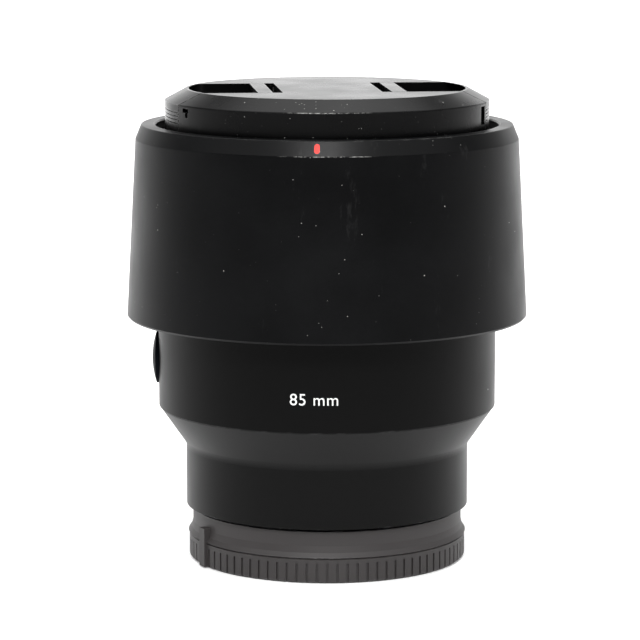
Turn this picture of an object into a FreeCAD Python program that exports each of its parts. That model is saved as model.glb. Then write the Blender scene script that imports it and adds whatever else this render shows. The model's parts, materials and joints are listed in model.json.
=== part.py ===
"""Prime camera lens, 85 mm class, standing on its rear cap with its hood stored reversed.

Millimetres.  The lens axis is Z, the standing face of the rear cap is z = 0 and the front is up.
The index marks of the lens face -Y, as seen by someone who looks along +Y.
"""
import FreeCAD, Part

import math
import os

import Sketcher

VEC = FreeCAD.Vector
Z_AXIS = VEC(0, 0, 1)
FULL_TURN = 360.0

# Driving dimensions: alias, value, meaning.  Radii are from the lens axis, levels from the standing face.
SHEET_ROWS = [
    ("flange_level", 11.2, "mount flange face"),
    ("flange_radius", 28.0, "mount flange outer radius"),
    ("tail_radius", 21.8, "outside of the bayonet tail"),
    ("tail_level", 5.6, "rear end of the bayonet tail"),
    ("tab_radius", 23.4, "outside of the bayonet tabs"),
    ("foot_level", 11.8, "rear edge of the rear barrel"),
    ("foot_radius", 30.85, "rear barrel radius"),
    ("cone_start", 25.3, "level where the rear barrel starts to widen"),
    ("cone_radius", 36.5, "rear barrel radius at the top of its cone"),
    ("step_level", 33.6, "rear edge of the main barrel"),
    ("barrel_radius", 36.8, "main barrel radius"),
    ("barrel_top", 55.8, "front edge of the main barrel"),
    ("chassis_radius", 34.8, "outside of the inner barrel"),
    ("chassis_bore", 33.0, "inside of the inner barrel"),
    ("chassis_top", 86.4, "front end of the inner barrel"),
    ("focus_ring_radius", 39.0, "focus ring radius"),
    ("focus_ring_bore", 35.6, "inside of the focus ring"),
    ("focus_ring_start", 56.0, "rear face of the focus ring"),
    ("focus_ring_end", 84.2, "front face of the focus ring"),
    ("front_radius", 36.9, "front ring radius"),
    ("front_start", 84.4, "rear face of the front ring"),
    ("front_level", 93.2, "front face of the lens"),
    ("filter_radius", 33.5, "major radius of the filter thread"),
    ("hood_lip_radius", 43.56, "hood radius at its open lip"),
    ("hood_lip_level", 53.25, "hood lip, which points back when stored"),
    ("hood_bevel_radius", 41.53, "hood radius at the foot of its bevel"),
    ("hood_bevel_level", 92.0, "foot of the hood bevel"),
    ("hood_end_radius", 40.23, "hood radius at the top of its bevel"),
    ("hood_end_level", 95.15, "bayonet end of the hood, on top when stored"),
    ("hood_bore", 37.15, "bore of the hood bayonet"),
    ("hood_wall", 1.45, "hood wall thickness"),
    ("cap_radius", 35.1, "front cap radius"),
    ("cap_start", 93.35, "rear edge of the front cap wall"),
    ("cap_bevel_level", 100.35, "foot of the front cap bevel"),
    ("cap_face_radius", 30.57, "edge of the front cap face"),
    ("cap_face_level", 102.8, "front cap face"),
    ("rear_cap_radius", 30.3, "rear cap radius over its ribs"),
    ("rear_cap_neck", 29.48, "rear cap radius at its neck"),
    ("rear_cap_top", 11.0, "front edge of the rear cap"),
    ("glass_1_radius", 26.4, "front element radius"),
    ("glass_2_radius", 25.0, "second element radius"),
    ("glass_3_radius", 20.5, "third element radius"),
    ("focus_glass_radius", 16.5, "radius of the focusing elements"),
    ("iris_opening", 17.0, "radius of the fully open iris"),
    ("button_radius", 5.85, "focus hold button radius"),
]


class Size:
    """A length with the spreadsheet expression behind it; sums and differences keep both."""

    def __init__(self, value, text):
        self.value = value
        self.text = text

    def __add__(self, other):
        return Size(self.value + number(other), f"({self.text} + {formula(other)})")

    def __sub__(self, other):
        return Size(self.value - number(other), f"({self.text} - {formula(other)})")


def number(size):
    return size.value if isinstance(size, Size) else float(size)


def formula(size):
    return size.text if isinstance(size, Size) else f"{size:.9g}"


class Sheet:
    """The driving dimensions, read as dims.alias."""

    def __init__(self, document):
        table = document.addObject("Spreadsheet::Sheet", "Dims")
        for row, (alias, value, meaning) in enumerate(SHEET_ROWS, start=1):
            table.set(f"A{row}", meaning)
            table.set(f"B{row}", f"{value}")
            table.setAlias(f"B{row}", alias)
            setattr(self, alias, Size(value, f"Dims.{alias}"))


doc = FreeCAD.newDocument("prime_lens")
dims = Sheet(doc)
doc.recompute()
nodes = []


def node(label, thing):
    """Register a finished sub-part under the name of its node."""
    thing.Label = label
    nodes.append(thing)
    return thing


def bind(thing, prop, size):
    thing.setExpression(prop, formula(size))


# ---- turned pieces ----------------------------------------------------------------------------

def origin_feature(body, role):
    return next(feature for feature in body.Origin.OriginFeatures if feature.Role == role)


def flat_sketch(body, name, role, offset=0.0):
    sketch = body.newObject("Sketcher::SketchObject", name)
    sketch.AttachmentSupport = (origin_feature(body, role), [""])
    sketch.MapMode = "FlatFace"
    sketch.AttachmentOffset = FreeCAD.Placement(VEC(0, 0, offset), FreeCAD.Rotation())
    return sketch


def fix_point(sketch, geo, end, across, up):
    """Hold a sketch point at its distances from the sketch origin."""
    for kind, distance, axis in (("DistanceX", across, -2), ("DistanceY", up, -1)):
        if number(distance) == 0:
            sketch.addConstraint(Sketcher.Constraint("PointOnObject", geo, end, axis))
        else:
            index = sketch.addConstraint(Sketcher.Constraint(kind, -1, 1, geo, end, number(distance)))
            sketch.setExpression(f"Constraints[{index}]", formula(distance))


def draw_polygon(sketch, outline):
    count = len(outline)
    points = [VEC(number(across), number(up), 0) for across, up in outline]
    for index, point in enumerate(points):
        sketch.addGeometry(Part.LineSegment(point, points[(index + 1) % count]))
    for index in range(count):
        sketch.addConstraint(Sketcher.Constraint("Coincident", index, 2, (index + 1) % count, 1))
    for index, (across, up) in enumerate(outline):
        fix_point(sketch, index, 1, across, up)


def turned(name, outline):
    """A body of revolution about Z from its half section, a list of (radius, level)."""
    body = doc.addObject("PartDesign::Body", name)
    sketch = flat_sketch(body, f"{name}_section", "XZ_Plane")
    draw_polygon(sketch, outline)
    revolution = body.newObject("PartDesign::Revolution", f"{name}_revolution")
    revolution.Profile = sketch
    revolution.ReferenceAxis = (sketch, ["V_Axis"])
    revolution.Angle = FULL_TURN
    doc.recompute()
    return body


def rounded(body, size, *circles):
    """Fillet the circular edges found at the given (radius, level) places."""
    base = body.Tip
    names = []
    for index, edge in enumerate(base.Shape.Edges, start=1):
        if not isinstance(edge.Curve, Part.Circle):
            continue
        for radius, level in circles:
            same_radius = abs(edge.Curve.Radius - number(radius)) < 0.01
            if same_radius and abs(edge.Curve.Center.z - number(level)) < 0.01:
                names.append(f"Edge{index}")
    fillet = body.newObject("PartDesign::Fillet", f"{body.Name}_fillet")
    fillet.Base = (base, names)
    fillet.Radius = size
    doc.recompute()
    return body


def grooved(body, outline, depth, outside, count):
    """Cut count equal grooves round a body; the outline is (across, level) of one groove."""
    sketch = flat_sketch(body, f"{body.Name}_groove", "XZ_Plane", number(outside) - depth)
    draw_polygon(sketch, outline)
    pocket = body.newObject("PartDesign::Pocket", f"{body.Name}_pocket")
    pocket.Profile = sketch
    pocket.Length = depth + 1.0
    pocket.Reversed = True
    pattern = body.newObject("PartDesign::PolarPattern", f"{body.Name}_grooves")
    pattern.Originals = [pocket]
    pattern.Axis = (origin_feature(body, "Z_Axis"), [""])
    pattern.Angle = FULL_TURN
    pattern.Occurrences = count
    body.Tip = pattern
    doc.recompute()
    return body


# ---- primitives and booleans --------------------------------------------------------------------

def disc(name, radius, bottom, top, centre=(0.0, 0.0)):
    """An upright cylinder between two levels."""
    thing = doc.addObject("Part::Cylinder", name)
    thing.Placement.Base = VEC(centre[0], centre[1], 0)
    bind(thing, "Radius", radius)
    bind(thing, "Height", Size(number(top), formula(top)) - bottom)
    bind(thing, "Placement.Base.z", bottom)
    return thing


def polar(radius, angle):
    return radius * math.cos(math.radians(angle)), radius * math.sin(math.radians(angle))


def sector(name, inner, outer, bottom, top, middle, half_angle):
    """An upright ring sector about the lens axis."""
    wedge = disc(f"{name}_wedge", outer, bottom, top)
    wedge.Angle = 2 * half_angle
    wedge.Placement.Rotation = FreeCAD.Rotation(Z_AXIS, middle - half_angle)
    core = disc(f"{name}_core", inner, bottom, top)
    return cut(name, wedge, core)


def block(name, across, along, levels, turn=0.0):
    """A box between two limits on each axis, in a frame turned about Z."""
    thing = doc.addObject("Part::Box", name)
    rotation = FreeCAD.Rotation(Z_AXIS, turn)
    corner = rotation.multVec(VEC(number(across[0]), number(along[0]), 0))
    thing.Placement = FreeCAD.Placement(corner, rotation)
    for prop, limits in (("Length", across), ("Width", along), ("Height", levels)):
        bind(thing, prop, Size(number(limits[1]), formula(limits[1])) - limits[0])
    bind(thing, "Placement.Base.z", levels[0])
    return thing


def spoke(name, radius, level, inner, outer, turn):
    """A cylinder whose axis points away from the lens axis."""
    thing = doc.addObject("Part::Cylinder", name)
    bind(thing, "Radius", radius)
    bind(thing, "Height", Size(number(outer), formula(outer)) - inner)
    rotation = FreeCAD.Rotation(Z_AXIS, turn).multiply(FreeCAD.Rotation(VEC(0, 1, 0), 90))
    start = polar(number(inner), turn)
    thing.Placement = FreeCAD.Placement(VEC(start[0], start[1], number(level)), rotation)
    return thing


def join(name, *things):
    thing = doc.addObject("Part::MultiFuse", name)
    thing.Shapes = list(things)
    return thing


def overlap(name, first, second):
    thing = doc.addObject("Part::Common", name)
    thing.Base, thing.Tool = first, second
    return thing


def cut(name, base, *tools):
    thing = doc.addObject("Part::Cut", name)
    thing.Base = base
    thing.Tool = tools[0] if len(tools) == 1 else join(f"{name}_tools", *tools)
    return thing


def group(name, *things):
    """Separate solids that share one node."""
    thing = doc.addObject("Part::Compound", name)
    thing.Links = list(things)
    return thing


def turned_to(thing, angle):
    """Turn a finished piece about the lens axis, at its own level."""
    level = thing.Placement.Base.z
    thing.Placement = FreeCAD.Placement(VEC(0, 0, level), FreeCAD.Rotation(Z_AXIS, angle))
    return thing


def plate(name, wire, bottom, thickness):
    """A flat piece of any outline, raised from the plane at its bottom level."""
    thing = doc.addObject("Part::Feature", name)
    thing.Shape = Part.Face(wire).extrude(VEC(0, 0, thickness))
    thing.Placement.Base = VEC(0, 0, bottom)
    return thing


# ---- barrels and mount --------------------------------------------------------------------------

INDEX_ANGLE = -94.3          # the index line of the lens, just left of -Y
TAB_ANGLES = [INDEX_ANGLE + 120.0 * turn for turn in range(3)]
TAB_HALF_ANGLE = 25.0
SCREW_ANGLES = [INDEX_ANGLE + 45.0 + 90.0 * turn for turn in range(4)]
SCREW_CIRCLE = 25.3
BUTTON_ANGLE = 178.0
BUTTON_LEVEL = 43.75
SWITCH_ANGLE = 156.0
RIB_ANGLE = -151.2           # index rib of the rear cap


def make_rear_barrel():
    bore = dims.foot_radius - 1.65
    shell = turned("rear_barrel_shell", [
        (dims.foot_radius, dims.foot_level), (dims.foot_radius, dims.cone_start),
        (dims.cone_radius, dims.step_level - 0.2), (dims.cone_radius, dims.step_level),
        (34.1, dims.step_level), (34.1, 32.0), (bore, dims.cone_start - 0.4), (bore, 15.6),
        (22.5, 15.6), (22.5, 13.0), (dims.flange_radius, 13.0), (dims.flange_radius, dims.foot_level)])
    rounded(shell, 2.5, (dims.foot_radius, dims.cone_start))
    holes = [disc(f"rear_barrel_hole_{index}", 0.8, 12.5, 16.0, polar(SCREW_CIRCLE, angle))
             for index, angle in enumerate(SCREW_ANGLES)]
    node("rear_barrel", cut("rear_barrel_drilled", shell, *holes))


def make_main_barrel():
    shell = turned("main_barrel_shell", [
        (dims.chassis_radius, dims.step_level), (dims.barrel_radius, dims.step_level),
        (dims.barrel_radius, dims.barrel_top), (dims.chassis_radius, dims.barrel_top)])
    rounded(shell, 0.2, (dims.barrel_radius, dims.step_level))
    button_hole = spoke("main_barrel_button_hole", dims.button_radius + 0.15, BUTTON_LEVEL, 30.0, 40.0,
                        BUTTON_ANGLE)
    seat = sector("main_barrel_switch_seat", 36.2, 40.0, 37.9, 51.1, SWITCH_ANGLE, 9.2)
    slot = block("main_barrel_switch_slot", (33.5, 40.0), (-1.7, 1.7), (41.2, 48.6), SWITCH_ANGLE)
    node("main_barrel", cut("main_barrel_cut", shell, button_hole, seat, slot))


def make_inner_barrel():
    tube = turned("inner_barrel_tube", [
        (dims.chassis_bore, dims.step_level), (dims.chassis_radius, dims.step_level),
        (dims.chassis_radius, dims.chassis_top), (dims.chassis_bore, dims.chassis_top)])
    well = spoke("inner_barrel_button_hole", dims.button_radius + 0.75, BUTTON_LEVEL, 30.0, 36.0, BUTTON_ANGLE)
    window = block("inner_barrel_sensor_window", (31.0, 36.0), (-3.0, 3.0), (79.6, 83.8), 0.0)
    node("inner_barrel", cut("inner_barrel_cut", tube, well, window))


def make_mount():
    ring = turned("mount_ring_turned", [
        (20.3, dims.tail_level), (dims.tail_radius, dims.tail_level), (dims.tail_radius, dims.flange_level),
        (dims.flange_radius, dims.flange_level), (dims.flange_radius, 13.0), (20.3, 13.0)])
    tabs = [sector(f"mount_tab_{index}", 21.0, dims.tab_radius, 8.2, 9.6, angle, TAB_HALF_ANGLE)
            for index, angle in enumerate(TAB_ANGLES)]
    heads, screws = [], []
    for index, angle in enumerate(SCREW_ANGLES):
        centre = polar(SCREW_CIRCLE, angle)
        heads.append(disc(f"mount_head_seat_{index}", 1.5, 11.0, 12.3, centre))
        heads.append(disc(f"mount_shank_hole_{index}", 0.8, 12.0, 13.5, centre))
        head = disc(f"mount_screw_head_{index}", 1.45, 11.35, 12.3, centre)
        shank = disc(f"mount_screw_shank_{index}", 0.8, 12.3, 15.4, centre)
        bit = block(f"mount_screw_slot_{index}", (-0.15, 0.15), (-1.1, 1.1), (11.0, 11.8))
        cross = block(f"mount_screw_cross_{index}", (-1.1, 1.1), (-0.15, 0.15), (11.0, 11.8))
        for tool in (bit, cross):
            tool.Placement.Base += VEC(centre[0], centre[1], 0)
        screws.append(cut(f"mount_screw_{index}", join(f"mount_screw_blank_{index}", head, shank), bit, cross))
    dot_centre = polar(SCREW_CIRCLE, INDEX_ANGLE)
    dot_seat = disc("mount_dot_seat", 0.9, 11.0, 11.6, dot_centre)
    node("mount_ring", cut("mount_ring_cut", join("mount_ring_blank", ring, *tabs), dot_seat, *heads))
    node("mount_screws", group("mount_screw_group", *screws))
    node("mount_index_dot", disc("mount_dot", 0.9, dims.flange_level, 11.6, dot_centre))


def make_contacts():
    angles = [90.0 + 6.4 * (index - 4.5) for index in range(10)]
    seats = [disc(f"contact_seat_{index}", 0.6, 5.8, 7.0, polar(18.2, angle)) for index, angle in enumerate(angles)]
    pins = [disc(f"contact_pin_{index}", 0.6, 5.8, 7.0, polar(18.2, angle)) for index, angle in enumerate(angles)]
    base = sector("contact_base", 16.0, 20.3, 6.1, 9.2, 90.0, 36.0)
    node("contact_block", cut("contact_block_cut", base, *seats))
    node("contact_pins", group("contact_pin_group", *pins))
    rim = disc("rear_baffle_rim", 20.3, 9.2, 10.6)
    window = block("rear_baffle_window", (-14.5, 14.5), (-10.5, 10.5), (9.0, 11.0))
    node("rear_baffle", cut("rear_baffle_cut", rim, window))


def make_main_board():
    board = sector("main_board_sheet", 21.5, 28.6, 17.5, 18.3, 90.0, 150.0)
    chips = [block(f"main_board_chip_{index}", (22.6, 27.4), (-2.6, 2.6), (18.3, 19.5), angle)
             for index, angle in enumerate((-30.0, 15.0, 60.0, 120.0, 165.0, 210.0))]
    node("main_board", group("main_board_group", board, *chips))


def make_rear_cap():
    band, neck = dims.rear_cap_radius, dims.rear_cap_neck
    shell = turned("rear_cap_shell", [
        (25.0, 0), (29.6, 0), (band, 0.55), (band, 5.15), (band - 0.25, 5.35), (band + 0.17, 5.6),
        (29.8, 6.6), (neck, 8.0), (neck, dims.rear_cap_top), (27.6, dims.rear_cap_top),
        (27.6, 2.6), (27.0, 2.0), (0, 2.0), (0, 0.7), (24.5, 0.7)])
    grooved(shell, [(-0.5, -1.0), (0.5, -1.0), (0.27, 0.75), (0.27, 4.3), (-0.27, 4.3), (-0.27, 0.75)],
            0.4, band, 88)
    lugs = [sector(f"rear_cap_lug_{index}", 22.2, 28.0, 9.85, 11.0, angle, TAB_HALF_ANGLE)
            for index, angle in enumerate(TAB_ANGLES)]
    rib = block("rear_cap_rib", (28.4, 30.95), (-1.2, 1.2), (0.3, 8.7), RIB_ANGLE)
    node("rear_cap", join("rear_cap_joined", shell, rib, *lugs))


# ---- front ring, hood and focus ring --------------------------------------------------------------

HOOD_MARK_ANGLE = -93.0
LUG_ANGLES = [HOOD_MARK_ANGLE + 60.0 + 120.0 * turn for turn in range(3)]
THREAD_PITCH = 0.75
THREAD_DEPTH = 0.38


def make_front_ring():
    thread = []
    for turn in range(6):
        level = 92.8 - THREAD_PITCH * turn
        thread.append((dims.filter_radius, level))
        thread.append((dims.filter_radius - THREAD_DEPTH, level - THREAD_PITCH / 2))
    ring = turned("front_ring_turned", [
        (dims.chassis_radius, dims.front_start), (dims.front_radius, dims.front_start),
        (dims.front_radius, 87.4), (35.9, 87.4), (35.9, 89.8), (dims.front_radius, 89.8),
        (dims.front_radius, dims.front_level - 0.3), (dims.front_radius - 0.3, dims.front_level),
        (dims.filter_radius + 0.3, dims.front_level), *thread, (dims.filter_radius, 87.6),
        (31.0, 87.6), (31.0, dims.chassis_top), (dims.chassis_radius, dims.chassis_top)])
    slots = [sector(f"front_ring_slot_{index}", 35.9, 38.0, 89.6, 94.0, angle, 13.0)
             for index, angle in enumerate(LUG_ANGLES)]
    node("front_ring", cut("front_ring_cut", ring, *slots))
    node("name_ring", turned("name_ring_turned", [
        (25.8, dims.chassis_top), (30.8, dims.chassis_top), (30.8, 87.6), (dims.chassis_bore, 87.6),
        (dims.chassis_bore, 90.2), (32.5, 90.4), (26.6, 88.5), (25.8, 88.1)]))


def hood_radius(level):
    """Outside radius of the conical hood wall at a level."""
    rise = (level - dims.hood_lip_level.value) / (dims.hood_bevel_level.value - dims.hood_lip_level.value)
    return dims.hood_lip_radius - rise * (dims.hood_lip_radius.value - dims.hood_bevel_radius.value)


def make_hood():
    shoulder = 86.8
    lip = dims.hood_lip_level
    shell = turned("hood_shell", [
        (dims.hood_lip_radius - 1.1, lip), (dims.hood_lip_radius - 0.4, lip),
        (dims.hood_lip_radius, lip + 0.45), (dims.hood_bevel_radius, dims.hood_bevel_level),
        (dims.hood_end_radius, dims.hood_end_level), (dims.hood_bore + 0.3, dims.hood_end_level),
        (dims.hood_bore, dims.hood_end_level - 0.3), (dims.hood_bore, shoulder),
        (hood_radius(shoulder) - dims.hood_wall, shoulder), (dims.hood_lip_radius - dims.hood_wall, lip + 0.45)])
    rounded(shell, 0.3, (dims.hood_bevel_radius, dims.hood_bevel_level),
            (dims.hood_end_radius, dims.hood_end_level))
    lugs = [sector(f"hood_lug_{index}", 36.1, 38.0, 87.8, 89.3, angle, 11.0)
            for index, angle in enumerate(LUG_ANGLES)]
    body = join("hood_joined", shell, *lugs)
    seat, mark = hood_mark("hood_mark_seat"), hood_mark("hood_mark")
    node("hood_body", cut("hood_cut", body, seat))
    node("hood_index_mark", mark)
    low, high = 55.5, 85.5
    play, felt = 0.1, 0.5
    node("hood_lining", turned("hood_lining_turned", [
        (hood_radius(low) - dims.hood_wall - play, low), (hood_radius(high) - dims.hood_wall - play, high),
        (hood_radius(high) - dims.hood_wall - (play + felt), high),
        (hood_radius(low) - dims.hood_wall - (play + felt), low)]))


def hood_mark(name):
    """A capsule let into the hood bevel, its flat face parallel to the bevel."""
    half_width, half_length, depth = 0.54, 0.5, 0.5
    thing = join(name,
                 block(f"{name}_middle", (-half_width, half_width), (-half_length, half_length), (0, depth)),
                 disc(f"{name}_top", half_width, 0, depth, (0.0, half_length)),
                 disc(f"{name}_foot", half_width, 0, depth, (0.0, -half_length)))
    run = dims.hood_bevel_radius.value - dims.hood_end_radius.value
    climb = dims.hood_end_level.value - dims.hood_bevel_level.value
    tilt = math.degrees(math.atan2(run, climb))
    radius = (dims.hood_bevel_radius.value + dims.hood_end_radius.value) / 2
    level = (dims.hood_bevel_level.value + dims.hood_end_level.value) / 2
    inset = depth - 0.03
    out, up = math.cos(math.radians(tilt)), math.sin(math.radians(tilt))
    stand = FreeCAD.Rotation(Z_AXIS, HOOD_MARK_ANGLE + 90.0).multiply(FreeCAD.Rotation(VEC(1, 0, 0), 90.0 - tilt))
    foot = polar(radius - inset * out, HOOD_MARK_ANGLE)
    thing.Placement = FreeCAD.Placement(VEC(foot[0], foot[1], level - inset * up), stand)
    return thing


def make_focus_ring():
    bore, rim = dims.focus_ring_bore, dims.focus_ring_radius
    start, end = dims.focus_ring_start, dims.focus_ring_end
    ring = turned("focus_ring_turned", [
        (bore, start), (rim - 0.5, start), (rim, start + 0.5), (rim, end - 0.5), (rim - 0.5, end), (bore, end)])
    grooved(ring, [(-0.6, 60.0), (0.6, 60.0), (0.6, 80.0), (-0.6, 80.0)], 0.4, rim, 90)
    node("focus_ring", ring)
    comb = turned("focus_comb_turned", [(bore - 0.6, 80.0), (bore, 80.0), (bore, 83.4), (bore - 0.6, 83.4)])
    grooved(comb, [(-1.8, 79.0), (1.8, 79.0), (1.8, 82.0), (-1.8, 82.0)], 0.9, bore, 30)
    node("focus_encoder_comb", comb)
    node("focus_ring_bearing", turned("focus_bearing_turned", [
        (dims.chassis_radius, 60.0), (bore - 0.1, 60.0), (bore - 0.1, 78.0), (dims.chassis_radius, 78.0)]))
    eye = block("focus_sensor_eye", (31.4, 34.8), (-3.0, 3.0), (79.6, 83.8))
    node("focus_sensor", eye)


# ---- glass and its cells --------------------------------------------------------------------------

def glass(label, radius, front, back, front_curve, back_curve):
    """A lens element: apex levels and surface radii, where a positive radius bulges outwards."""
    body = doc.addObject("PartDesign::Body", f"{label}_turned")
    sketch = flat_sketch(body, f"{label}_section", "XZ_Plane")
    rim = number(radius)
    corners, arcs = [], []
    for apex, curve, side in ((front, front_curve, -1), (back, back_curve, 1)):
        toward = side if curve > 0 else -side
        bow = abs(curve)
        centre = apex + toward * bow
        sag = bow - math.sqrt(bow * bow - rim * rim)
        corner = apex + toward * sag
        angle = math.atan2(corner - centre, rim)
        low, high = (angle, math.pi / 2) if toward < 0 else (-math.pi / 2, angle)
        arcs.append((Part.ArcOfCircle(Part.Circle(VEC(0, centre, 0), Z_AXIS, bow), low, high), bow, apex, toward))
        corners.append(corner)
    sketch.addGeometry(arcs[0][0])
    sketch.addGeometry(Part.LineSegment(VEC(rim, corners[0], 0), VEC(rim, corners[1], 0)))
    sketch.addGeometry(arcs[1][0])
    sketch.addGeometry(Part.LineSegment(VEC(0, back, 0), VEC(0, front, 0)))
    for geo, (_, bow, apex, toward) in ((0, arcs[0]), (2, arcs[1])):
        apex_end, rim_end = (2, 1) if toward < 0 else (1, 2)
        line_end, axis_end = (1, 2) if geo == 0 else (2, 1)
        sketch.addConstraint(Sketcher.Constraint("Coincident", geo, rim_end, 1, line_end))
        sketch.addConstraint(Sketcher.Constraint("Coincident", geo, apex_end, 3, axis_end))
        sketch.addConstraint(Sketcher.Constraint("PointOnObject", geo, 3, -2))
        sketch.addConstraint(Sketcher.Constraint("Radius", geo, bow))
        fix_point(sketch, 3, axis_end, 0, apex)
    sketch.addConstraint(Sketcher.Constraint("Vertical", 1))
    index = sketch.addConstraint(Sketcher.Constraint("DistanceX", -1, 1, 1, 1, rim))
    sketch.setExpression(f"Constraints[{index}]", formula(radius))
    revolution = body.newObject("PartDesign::Revolution", f"{label}_revolution")
    revolution.Profile = sketch
    revolution.ReferenceAxis = (sketch, ["V_Axis"])
    revolution.Angle = FULL_TURN
    doc.recompute()
    node(label, body)


def make_optics():
    glass("glass_1", dims.glass_1_radius, 89.4, 82.2, 58.0, -180.0)
    glass("glass_2", dims.glass_2_radius, 81.7, 74.6, 40.0, -95.0)
    glass("glass_3", dims.glass_3_radius, 71.6, 69.4, 150.0, -40.0)
    glass("glass_4", dims.focus_glass_radius, 49.9, 47.9, -70.0, -45.0)
    glass("glass_5", dims.focus_glass_radius, 47.9, 41.1, 45.0, 60.0)
    glass("glass_6", dims.focus_glass_radius, 40.5, 36.9, 55.0, -200.0)
    glass("glass_7", 18.0, 33.4, 26.5, 45.0, 80.0)
    glass("glass_8", 17.0, 24.8, 22.8, -50.0, -40.0)
    glass("glass_9", dims.focus_glass_radius, 21.8, 16.8, 35.0, -90.0)


def make_cells():
    first, second, third = dims.glass_1_radius, dims.glass_2_radius, dims.glass_3_radius
    bore, top = dims.chassis_bore, dims.chassis_top
    node("front_cell", turned("front_cell_turned", [
        (19.5, 62.3), (21.4, 62.3), (21.4, 68.8), (26.6, 70.2), (26.6, 80.0), (28.2, 81.0), (28.2, 84.4),
        (bore, 84.4), (bore, top), (first, top), (first, 80.25), (second, 80.25), (second, 71.24),
        (23.5, 71.24), (third, 70.3), (third, 63.74), (19.5, 63.74)]))
    node("front_retainer", turned("front_retainer_turned", [
        (25.0, 83.8), (first, 83.2), (first, top), (25.0, top)]))
    node("rear_cell", turned("rear_cell_turned", [
        (15.5, 14.2), (20.6, 14.2), (20.6, 33.6), (bore, 33.6), (bore, 35.0), (18.0, 35.0), (18.0, 28.55),
        (17.0, 28.2), (17.0, 19.0), (dims.focus_glass_radius, 18.9), (dims.focus_glass_radius, 15.25),
        (15.5, 15.25)]))
    node("rear_retainer", turned("rear_retainer_turned", [
        (16.9, 30.4), (18.0, 29.9), (18.0, 31.6), (16.9, 31.6)]))


# ---- iris -----------------------------------------------------------------------------------------

BLADE_COUNT = 9
BLADE_PIVOT = 30.3
BLADE_OUTSIDE = 28.0
BLADE_CLOSE = 27.5           # turn of a blade from open to closed, degrees
RING_CLOSE = 15.0            # turn of the drive ring for that
DRIVE_OFFSET = (-1.1, 2.4)   # drive pin from pivot, at rest
DRIVE_PIN = 0.45
SLOT_HALF_WIDTH = 0.52
BLADE_LEVEL = 58.5
BLADE_STEP = 0.15
BLADE_THICKNESS = 0.1
PINION_TEETH = 12
PINION_PITCH = 2.1
RING_TEETH = 150
PINION_ANGLE = 180.0
PINION_CENTRE = PINION_PITCH * (RING_TEETH / PINION_TEETH - 1)


def swung(point, pivot, angle):
    across, along = point[0] - pivot[0], point[1] - pivot[1]
    cosine, sine = math.cos(math.radians(angle)), math.sin(math.radians(angle))
    return pivot[0] + across * cosine - along * sine, pivot[1] + across * sine + along * cosine


def flat(point):
    return VEC(point[0], point[1], 0)


def blade_wire():
    """Outline of the blade whose pivot lies on the +X axis."""
    opening = dims.iris_opening.value
    inner = [polar(opening, angle) for angle in (2.0, 41.0, 80.0)]
    outer = [polar(BLADE_OUTSIDE, angle) for angle in (80.0, 44.5, 9.0)]
    tab = [(30.0, 3.5), (31.6, 0.5), (31.5, -0.75), (BLADE_PIVOT, -1.4)]
    edges = [
        Part.Arc(*map(flat, inner)).toShape(), Part.LineSegment(flat(inner[2]), flat(outer[0])).toShape(),
        Part.Arc(*map(flat, outer)).toShape(), Part.LineSegment(flat(outer[2]), flat(tab[0])).toShape(),
        Part.LineSegment(flat(tab[0]), flat(tab[1])).toShape(), Part.Arc(*map(flat, tab[1:])).toShape(),
        Part.LineSegment(flat(tab[3]), flat(inner[0])).toShape()]
    return Part.Wire(edges)


def slot_wire():
    """Cam slot of the drive ring: the path of a drive pin seen from the turning ring."""
    pivot = (BLADE_PIVOT, 0.0)
    rest = (BLADE_PIVOT + DRIVE_OFFSET[0], DRIVE_OFFSET[1])
    path = []
    for share in (0.0, 0.5, 1.0):
        seen = swung(rest, pivot, BLADE_CLOSE * share)
        path.append(flat(swung(seen, (0.0, 0.0), -RING_CLOSE * share)))
    circle = Part.Arc(*path).toShape().Curve
    centre, radius = circle.Center, circle.Radius

    def side(point, offset):
        return centre + (point - centre) * ((radius + offset) / radius)

    first_out, middle_out, last_out = (side(point, SLOT_HALF_WIDTH) for point in path)
    first_in, middle_in, last_in = (side(point, -SLOT_HALF_WIDTH) for point in path)
    lead = (path[0] - path[1]).normalize() * SLOT_HALF_WIDTH
    trail = (path[2] - path[1]).normalize() * SLOT_HALF_WIDTH
    return Part.Wire([
        Part.Arc(first_out, middle_out, last_out).toShape(), Part.Arc(last_out, path[2] + trail, last_in).toShape(),
        Part.Arc(last_in, middle_in, first_in).toShape(), Part.Arc(first_in, path[0] + lead, first_out).toShape()])


def closed_polygon(points):
    return Part.makePolygon([flat(point) for point in points + points[:1]])


def pinion_wire():
    root, tip = PINION_PITCH - 0.35, PINION_PITCH + 0.2
    points = []
    for tooth in range(PINION_TEETH):
        middle = PINION_ANGLE + FULL_TURN / PINION_TEETH * tooth
        for radius, half_width, side in ((root, 0.26, -1), (tip, 0.13, -1), (tip, 0.13, 1), (root, 0.26, 1)):
            points.append(polar(radius, middle + side * math.degrees(half_width / radius)))
    return closed_polygon(points)


def ring_tooth_wire(middle):
    root, tip = 26.7, 26.0
    points = [polar(root, middle - 0.56), polar(tip, middle - 0.3), polar(tip, middle + 0.3), polar(root, middle + 0.56)]
    return closed_polygon(points)


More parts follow.
